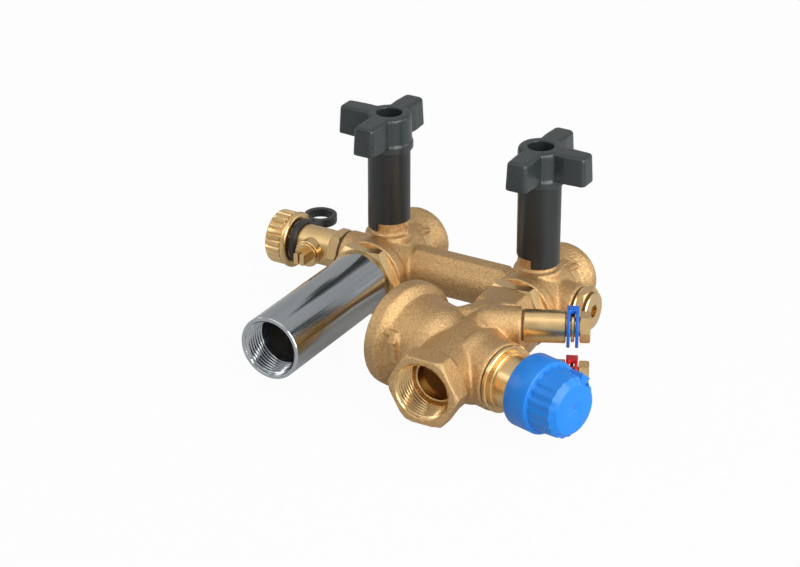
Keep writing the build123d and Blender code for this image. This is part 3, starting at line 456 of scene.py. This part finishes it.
def block(middle, along, out, sizes):
    """Corners and faces of a small block, in millimetres, set by two of its directions."""
    first = Vector(along).normalized()
    second = Vector(out)
    second = (second - first * second.dot(first)).normalized()
    directions = (first, second, first.cross(second))
    halves = [direction * size / 2 for direction, size in zip(directions, sizes)]
    corners = [
        Vector(middle) + halves[0] * a + halves[1] * b + halves[2] * c
        for a in (-1, 1) for b in (-1, 1) for c in (-1, 1)
    ]
    faces = [(0, 1, 3, 2), (4, 6, 7, 5), (0, 4, 5, 1), (2, 3, 7, 6), (0, 2, 6, 4), (1, 5, 7, 3)]
    return corners, faces


def remeshed(node, name, voxel, blocks=()):
    """A new object with an even mesh over a node's surface and any blocks that stand on it."""
    obj = bpy.data.objects.new(name, frame["nodes"][node].data.copy())
    bpy.context.scene.collection.objects.link(obj)
    joined = bmesh.new()
    joined.from_mesh(obj.data)
    for corners, faces in blocks:
        points = [joined.verts.new(corner * MM) for corner in corners]
        for face in faces:
            joined.faces.new([points[index] for index in face])
    joined.to_mesh(obj.data)
    joined.free()
    remesh = obj.modifiers.new("remesh", "REMESH")
    remesh.mode = "VOXEL"
    remesh.voxel_size = voxel * MM
    evaluated = obj.evaluated_get(bpy.context.evaluated_depsgraph_get())
    applied = bpy.data.meshes.new_from_object(evaluated)
    obj.modifiers.clear()
    obj.data = applied
    return obj


def body_of(node):
    """The moving body that a node belongs to."""
    bodies = frame["record"]["behaviour"]["bodies"]
    return next(name for name, nodes in bodies.items() if node in nodes)


def moulded_copy(node, voxel, rounds, widen=None):
    """A copy of a small moulded piece with its edges rounded, on the same body.

    widen is a function that moves the points before the edges are rounded.
    """
    slot = SLOTS[node]
    obj = remeshed(node, node + "_moulded", voxel)
    points = node_points(obj)
    if widen is not None:
        points = widen(points)
    put_points(obj, smooth_points(obj, points, np.ones(len(points)), rounds))
    shade(obj, SOFT_CREASE)
    dress(obj, slot)
    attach(obj, body_of(node))
    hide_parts(node)


def fuller_arms(centre_x):
    """Make a grip's arms a little wider, with their ends and the hub left as they are."""
    # the arms start at hub_r and have all of the widening a slope further out
    hub_r = 7
    slope = 8
    widening = 0.2

    def widen(points):
        from_x = points[:, 0] - centre_x
        from_y = points[:, 1] - BALL_Y
        on_x_arm = np.clip((np.abs(from_x) - hub_r) / slope, 0, 1)
        on_y_arm = np.clip((np.abs(from_y) - hub_r) / slope, 0, 1)
        moved = points.copy()
        moved[:, 1] += from_y * widening * on_x_arm * (1 - on_y_arm)
        moved[:, 0] += from_x * widening * on_y_arm * (1 - on_x_arm)
        return moved

    return widen


def washer(node, bore_r, outer_r):
    """A branch's seal, brought out almost to the rims that it lies between."""
    low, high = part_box(node)
    middle_z = (low[2] + high[2]) / 2 / MM
    start, end = low[0] / MM, high[0] / MM
    outline = [(0, bore_r), (0, outer_r), (end - start, outer_r), (end - start, bore_r)]
    ring = lathe(
        node + "_fitted", (start, BALL_Y, middle_z), (1, 0, 0), outline, SLOTS[node],
        body_of(node),
    )
    ring.data.materials[0] = SEAL_RUBBER
    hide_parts(node)


def make_room(points, ports):
    """Push the wall of each threaded port out to where its lining's outer wall is."""
    overlap = 0.05
    mouth_margin = 0.5
    end_margin = 0.1
    wall_margin = 0.4
    for mouth, inward, depth in ports:
        along, radius, radial = station_and_radius(points, mouth, inward)
        lined = (along > -mouth_margin) & (along < depth - end_margin)
        lined &= radius < THREAD_SHELL_R + wall_margin
        push = (THREAD_SHELL_R - overlap) / np.maximum(radius, 1e-6)
        points[lined] += radial[lined] * (push[lined] - 1)[:, None]


def brighten_bores(obj, points, ports):
    """Machined brass inside each threaded port, from its mouth to past the thread."""
    mouth_inset = 0.3
    run_on = 6
    wall_margin = 0.3
    obj.data.materials.append(MATERIALS["machined_brass"])
    in_bore = np.zeros(len(points), dtype=bool)
    for mouth, inward, depth in ports:
        along, radius, _ = station_and_radius(points, mouth, inward)
        in_reach = (along > mouth_inset) & (along < depth + run_on)
        in_bore |= in_reach & (radius < THREAD_SHELL_R + wall_margin)
    for face in obj.data.polygons:
        if all(in_bore[index] for index in face.vertices):
            face.material_index = 1


def cast_copy(node, voxel, rounds, ports, machined, blocks):
    """A remeshed copy of a casting: soft at its inner corners, with room for thread linings.

    ports are (mouth, inward direction, depth) of threaded ports. machined is a function of the
    points that gives how far each one keeps its place, from 0, cast, to 1, machined. blocks are
    small cast lugs and webs that are joined on before the surface is softened.
    """
    obj = remeshed(node, node + "_casting", voxel, blocks)
    points = node_points(obj)
    points = smooth_points(obj, points, 1 - machined(points), rounds)
    make_room(points, ports)
    put_points(obj, points)
    shade(obj, SOFT_CREASE)
    dress(obj, "cast_brass")
    brighten_bores(obj, points, ports)
    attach(obj, "root")
    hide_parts(node)
    return obj


def camera():
    """The camera that was fitted to the photograph, for a picture of 800 by 567."""
    data = bpy.data.cameras.new("camera")
    data.sensor_width = SENSOR_WIDTH
    data.lens = FOCAL_LENGTH
    data.clip_end = 20
    obj = bpy.data.objects.new("camera", data)
    bpy.context.scene.collection.objects.link(obj)
    obj.location = CAMERA_PLACE
    obj.rotation_euler = (math.radians(90 - CAMERA_DOWN), 0, math.radians(CAMERA_TURN))
    bpy.context.scene.camera = obj


def light(name, place, target, size, power):
    """A soft square lamp that points at a target."""
    data = bpy.data.lights.new(name, "AREA")
    data.shape = "SQUARE"
    data.size = size
    data.energy = power
    obj = bpy.data.objects.new(name, data)
    bpy.context.scene.collection.objects.link(obj)
    obj.location = place
    obj.rotation_euler = (target - place).to_track_quat("-Z", "Y").to_euler()


def studio():
    """Soft lamps: a large one on the right, a high one in front and two smaller ones."""
    middle = Vector(LAMP_TARGET)
    for name, bearing, height, distance, size, power in LAMPS:
        turn, lift = math.radians(bearing), math.radians(height)
        toward = Vector((
            math.sin(turn) * math.cos(lift), math.cos(turn) * math.cos(lift), math.sin(lift)
        ))
        light(name, middle + toward * distance, middle, size, power)


def ray_share(tree, camera_share, mirror_share):
    """How much of a ray sees plain white: camera rays, and rays off metal or through glass."""
    path = tree.nodes.new("ShaderNodeLightPath")
    mirrored = tree.nodes.new("ShaderNodeMath")
    mirrored.operation = "MAXIMUM"
    tree.links.new(path.outputs["Is Glossy Ray"], mirrored.inputs[0])
    tree.links.new(path.outputs["Is Transmission Ray"], mirrored.inputs[1])
    mirror = tree.nodes.new("ShaderNodeMath")
    mirror.operation = "MULTIPLY"
    mirror.inputs[1].default_value = mirror_share
    tree.links.new(mirrored.outputs["Value"], mirror.inputs[0])
    total = tree.nodes.new("ShaderNodeMath")
    total.operation = "MULTIPLY_ADD"
    total.inputs[1].default_value = camera_share
    tree.links.new(path.outputs["Is Camera Ray"], total.inputs[0])
    tree.links.new(mirror.outputs["Value"], total.inputs[2])
    return total.outputs["Value"]


def mix_shaders(tree, share, plain, white, output):
    """Show the plain shader, and the white one by as much as share says."""
    mix = tree.nodes.new("ShaderNodeMixShader")
    tree.links.new(share, mix.inputs["Fac"])
    tree.links.new(plain, mix.inputs[1])
    tree.links.new(white, mix.inputs[2])
    tree.links.new(mix.outputs["Shader"], output.inputs["Surface"])


def world():
    """A white room, greyer and lit by height for the light that falls on the object."""
    data = bpy.data.worlds.new("studio")
    bpy.context.scene.world = data
    data.use_nodes = True
    tree = data.node_tree
    tree.nodes.clear()
    output = tree.nodes.new("ShaderNodeOutputWorld")
    white = tree.nodes.new("ShaderNodeBackground")
    white.inputs["Color"].default_value = (1, 1, 1, 1)
    room = tree.nodes.new("ShaderNodeBackground")
    coordinates = tree.nodes.new("ShaderNodeTexCoord")
    split = tree.nodes.new("ShaderNodeSeparateXYZ")
    tree.links.new(coordinates.outputs["Generated"], split.inputs["Vector"])
    up = tree.nodes.new("ShaderNodeMapRange")
    up.inputs["From Min"].default_value = -1
    up.inputs["From Max"].default_value = 1
    tree.links.new(split.outputs["Z"], up.inputs["Value"])
    heights = tree.nodes.new("ShaderNodeValToRGB")
    stops = heights.color_ramp.elements
    stops[0].color = (ROOM_BELOW, ROOM_BELOW, ROOM_BELOW, 1)
    stops[1].color = (ROOM_ABOVE, ROOM_ABOVE, ROOM_ABOVE, 1)
    for position, level in ROOM_LEVELS:
        stops.new(position).color = (level, level, level, 1)
    tree.links.new(up.outputs["Result"], heights.inputs["Fac"])
    tree.links.new(heights.outputs["Color"], room.inputs["Color"])
    share = ray_share(tree, camera_share=1.0, mirror_share=0.25)
    mix_shaders(tree, share, room.outputs["Background"], white.outputs["Background"], output)


def floor():
    """A pale floor below the lowest point, white to the camera and keeping soft shadows."""
    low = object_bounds()[0][2]
    size = 6.0
    mesh = bpy.data.meshes.new("floor")
    corners = [(-size, -size, low), (size, -size, low), (size, size, low), (-size, size, low)]
    mesh.from_pydata(corners, [], [(0, 1, 2, 3)])
    obj = bpy.data.objects.new("floor", mesh)
    bpy.context.scene.collection.objects.link(obj)
    mat, tree, shader = material("pale_floor", roughness=0.9, color=(0.6, 0.6, 0.6))
    white = tree.nodes.new("ShaderNodeEmission")
    white.inputs["Color"].default_value = (1, 1, 1, 1)
    share = ray_share(tree, camera_share=0.96, mirror_share=0.1)
    output = tree.nodes["Material Output"]
    mix_shaders(tree, share, shader.outputs["BSDF"], white.outputs["Emission"], output)
    obj.data.materials.append(mat)
    obj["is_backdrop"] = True


def dress_nodes():
    """Each CAD node gets its slot's material and smooth shading."""
    for name, obj in frame["nodes"].items():
        dress(obj, SLOTS[name])
        if name in THIN_SEALS:
            obj.data.materials[0] = SEAL_RUBBER
        shade(obj, NODE_CREASE)


def within(value, low, high):
    """1 inside a span, 0 outside it, with a short slope at both ends."""
    rise = np.clip((value - low) / MACHINED_SLOPE + 0.5, 0, 1)
    fall = np.clip((high - value) / MACHINED_SLOPE + 0.5, 0, 1)
    return np.minimum(rise, fall)


def machined_share(points, origin, direction, parts):
    """How much of each point lies in machined parts, whose spans are measured along a line."""
    along, radius, _ = station_and_radius(points, origin, direction)
    shares = [within(along, *stations) * within(radius, *radii) for stations, radii in parts]
    return np.maximum.reduce(shares)


def manifold_machined(points):
    """Where the manifold casting is machined: rims and bores of its ports, and its necks."""
    shares = []
    for x in (LEFT_X, RIGHT_X):
        ball = (x, BALL_Y, 0)
        port = (MANIFOLD_FRONT_RIM, MANIFOLD_REAR_RIM, MANIFOLD_BORE)
        shares.append(machined_share(points, ball, (0, -1, 0), port))
        shares.append(machined_share(points, ball, (0, 0, 1), (MANIFOLD_NECK,)))
    return np.maximum.reduce(shares)


def valve_machined(points):
    """Where the control valve casting is machined: outlet rim, bores, flange and neck."""
    port = (VALVE_OUTLET_RIM, VALVE_INLET_BORE, VALVE_OUTLET_BORE)
    spindle = (VALVE_FLANGE, VALVE_NECK)
    return np.maximum(
        machined_share(points, (RIGHT_X, BALL_Y, 0), (0, -1, 0), port),
        machined_share(points, (RIGHT_X, SPINDLE_Y, 0), SPINDLE_DIR, spindle),
    )


def slim_stop_lugs(casting):
    """Leave the handles' skirts a little room where they meet the stop lugs."""
    half_width = 1.9
    reach_low, reach_high = 9.0, 11.2
    lug_bottom, lug_top = 17.4, 23
    slimmed = 0.72
    points = node_points(casting)
    for x, inner_side in ((LEFT_X, 1), (RIGHT_X, -1)):
        from_middle = points[:, 1] - BALL_Y
        reach = (points[:, 0] - x) * inner_side
        on_lug = (np.abs(from_middle) < half_width) & (reach > reach_low) & (reach < reach_high)
        on_lug &= (points[:, 2] > lug_bottom) & (points[:, 2] < lug_top)
        points[on_lug, 1] = BALL_Y + from_middle[on_lug] * slimmed
    put_points(casting, points)


def castings():
    """Both castings, with their threaded linings."""
    back = Vector((0, -1, 0))
    ahead = Vector((0, 1, 0))
    rear_left = (Vector((LEFT_X, REAR_FACE, 0)), back, REAR_THREAD_DEPTH)
    rear_right = (Vector((RIGHT_X, REAR_FACE, 0)), back, REAR_THREAD_DEPTH)
    outlet = (Vector((RIGHT_X, OUTLET_FACE, 0)), ahead, THREAD_DEPTH)
    voxel = 0.64
    # webs beside the necks, which run down to the rear ports, and the bell's ear
    webs = [
        block(
            (x + 8.6, -16.5, 10.2), along=(0.1, 1, -0.1), out=(0.65, 0, 0.76),
            sizes=(13, 5, 2.4),
        )
        for x in (LEFT_X, RIGHT_X)
    ]
    ear = block(
        (-27.2, -115.6, 3.2), along=(-0.1, -0.1, 1), out=(-0.2, -0.95, 0.15),
        sizes=(12, 5.6, 4.6),
    )
    manifold = cast_copy(
        "manifold_body", voxel, 4, (rear_left, rear_right), manifold_machined, webs
    )
    slim_stop_lugs(manifold)
    cast_copy("valve_body", voxel, 5, (outlet,), valve_machined, (ear,))
    thread_shell("rear_thread_left", *rear_left, "machined_brass")
    thread_shell("rear_thread_right", *rear_right, "machined_brass")
    thread_shell("outlet_thread", *outlet, "machined_brass")


def steel_tube():
    """The spacer tube with its threaded front end."""
    start = Vector((LEFT_X, TUBE_FRONT, 0))
    length = TUBE_BACK - TUBE_FRONT
    back_edge = 0.5
    bore_margin = 0.3
    # station and radius, from the rounded front edge to the back and through the bore
    outline = [
        (0.0, THREAD_SHELL_R), (0.0, TUBE_R - 0.6), (0.12, TUBE_R - 0.25), (0.45, TUBE_R),
        (length - back_edge, TUBE_R), (length, TUBE_R - back_edge),
        (length, THREAD_MINOR_R), (length - THREAD_DEPTH, THREAD_MINOR_R),
        (length - THREAD_DEPTH, TUBE_BORE_R), (THREAD_DEPTH, TUBE_BORE_R),
        (THREAD_DEPTH, THREAD_SHELL_R),
    ]
    tube = lathe("steel_tube", start, (0, 1, 0), outline, "steel_tube", around=128)
    tube.data.materials.append(TUBE_BORE)
    middle = start.xz * MM
    for face in tube.data.polygons:
        if (face.center.xz - middle).length < (TUBE_BORE_R + bore_margin) * MM:
            face.material_index = 1
    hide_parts("spacer_tube")
    thread_shell(
        "tube_thread", start, Vector((0, 1, 0)), THREAD_DEPTH, "steel_tube",
        outer_r=THREAD_SHELL_R + 0.02,
    )


def springs():
    """Each coil spring gets its own copy of its mesh."""
    # the seat's place along the spindle's line, the spring's length at rest and the travel
    for node, joint, seat, length, travel in (
        ("return_spring", "valve_spindle_travel", 13.5, 8.7, 4.0),
        ("regulator_spring", "regulator_travel", -7.5, 11.8, 2.5),
    ):
        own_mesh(frame["nodes"][node])


def drain_cap():
    """The drain's cap: a rounded flange, then a coarse knurl and a turned end."""
    low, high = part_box("drain_cap")
    start = Vector((high[0] / MM, BALL_Y, (low[2] + high[2]) / 2 / MM))
    length = (high[0] - low[0]) / MM
    flange_r = (high[2] - low[2]) / 2 / MM
    grip_r = 13.2
    flutes = 26
    steps_per_flute = 12
    flute_depth = 0.7
    flute_half_share = 0.2
    flute_roundness = 0.6
    knurl_start = 3.4
    # station, radius and the share of the flutes' depth there
    rows = [
        (0.25, 7.0, 0), (0.0, 12.2, 0), (0.1, 12.9, 0), (0.5, 13.45, 0), (1.2, flange_r, 0),
        (2.0, flange_r, 0), (2.6, 13.5, 0), (2.9, 13.0, 0), (knurl_start - 0.3, 12.5, 0),
        (knurl_start, 12.5, 0), (knurl_start + 0.35, grip_r, 1), (length - 1.5, grip_r, 1),
        (length - 1.0, grip_r - 0.15, 1), (length - 0.5, grip_r - 0.6, 0.4),
        (length - 0.15, grip_r - 1.2, 0), (length, grip_r - 1.9, 0), (length, 8.6, 0),
        (length - 0.5, 8.0, 0), (length - 0.5, 2.0, 0), (length - 0.5, 0.02, 0),
        (length - 1.5, 0.02, 0), (length - 1.5, 7.0, 0),
    ]

    def radius_at(row, angle):
        _, radius, depth = rows[row]
        wave = (angle / FULL_TURN * flutes) % 1.0
        cut = max(0.0, 1 - abs(wave - 0.5) / flute_half_share) ** flute_roundness
        return radius - flute_depth * depth * cut

    cap = fluted(
        "drain_cap_turned", start, (-1, 0, 0), rows, flutes * steps_per_flute, radius_at,
        "machined_brass", "drain_cap", CAP_CREASE,
    )
    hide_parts("drain_cap")


def hand_wheel():
    """The blue wheel: a rounded collar, a fluted grip, a bevelled face and its lock."""
    start = Vector((RIGHT_X, SPINDLE_Y, 0))
    collar_r = 17.0
    grip_r = 15.25
    grip_start = 53.35
    grip_edge = 0.08
    taper = math.tan(math.radians(4.5))
    flutes = 20
    steps_per_flute = 24
    flute_depth = 0.6
    flute_sharpness = 2.2
    # the notch in the grip, and the locking tab that stands in it
    notch_angle = math.radians(-42)
    notch_half = 3.9
    notch_floor = 10.8
    notch_start = 57.5
    tab_half = 2.8
    tab_reach = 15.6
    tab_front = 64.4
    sharp_step = 0.02
    bevel_start = 64.5
    # station, radius or 0 for the tapered grip's, and the share of the flutes' depth there
    outer_rows = [
        (40.6, 14.75, 0), (40.4, 14.95, 0), (40.4, 16.4, 0), (40.6, 16.8, 0),
        (41.0, collar_r, 0), (51.9, collar_r, 0), (52.4, 16.85, 0), (52.75, 16.5, 0),
        (52.95, 16.05, 0), (53.0, 15.6, 0), (53.1, grip_r, 0.3),
        (grip_start, grip_r - 0.05, 0.8), (grip_start + 0.5, grip_r - grip_edge, 1),
        (notch_start, 0, 1), (notch_start + sharp_step, 0, 1), (61.0, 0, 1), (tab_front, 0, 0.8),
        (tab_front + sharp_step, 0, 0.8), (bevel_start, 0, 0.7), (bevel_start + 0.3, 13.6, 0.1),
        (66.9, 11.8, 0),
    ]
    # the face, the dimple at its centre and the hollow, which the notch doesn't reach
    inner_rows = [
        (67.1, 11.4, 0), (67.2, 11.0, 0), (67.2, 6.0, 0), (67.2, 1.3, 0), (66.95, 0.95, 0),
        (66.7, 0.5, 0), (66.7, 0.05, 0), (63.0, 0.05, 0), (63.0, 12.2, 0), (52.7, 12.2, 0),
        (52.7, 14.75, 0),
    ]
    rows = outer_rows + inner_rows

    def radius_at(row, angle):
        along, radius, depth = rows[row]
        radius = radius or grip_r - grip_edge - taper * (along - grip_start)
        ridge = abs(math.cos(angle * flutes / 2)) ** flute_sharpness
        radius -= flute_depth * depth * (1 - ridge)
        if row >= len(outer_rows):
            return radius
        turned = (angle - notch_angle + math.pi) % FULL_TURN - math.pi
        if abs(turned) > math.pi / 4 or along <= notch_start:
            return radius
        across = abs(math.sin(turned)) * min(radius, tab_reach)
        if across < tab_half and along <= tab_front:
            return tab_reach / math.cos(turned)
        if across < notch_half:
            return min(radius, notch_floor / math.cos(turned))
        return radius

    wheel = fluted(
        "hand_wheel_moulded", start, SPINDLE_DIR, rows, flutes * steps_per_flute, radius_at,
        "blue_plastic", "hand_wheel", WHEEL_CREASE,
    )
    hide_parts("hand_wheel")


def moulded_pieces():
    """The strap, the tags and the grips, with their edges rounded."""
    # node, voxel, rounds of smoothing and how the points are moved before them
    for node, voxel, rounds, widen in (
        ("drain_strap", 0.3, 6, None),
        ("test_tag_upper", 0.27, 3, None),
        ("test_tag_lower", 0.27, 3, None),
        ("handle_grip_left", 0.4, 5, fuller_arms(LEFT_X)),
        ("handle_grip_right", 0.4, 5, fuller_arms(RIGHT_X)),
    ):
        moulded_copy(node, voxel, rounds, widen)


camera()
world()
studio()
floor()
dress_nodes()
castings()
steel_tube()
drain_cap()
hand_wheel()
springs()
moulded_pieces()
washer("vent_seal", bore_r=4.1, outer_r=8.7)
washer("drain_seal", bore_r=8.4, outer_r=10.6)

scene = bpy.context.scene
scene.view_settings.view_transform = "Standard"
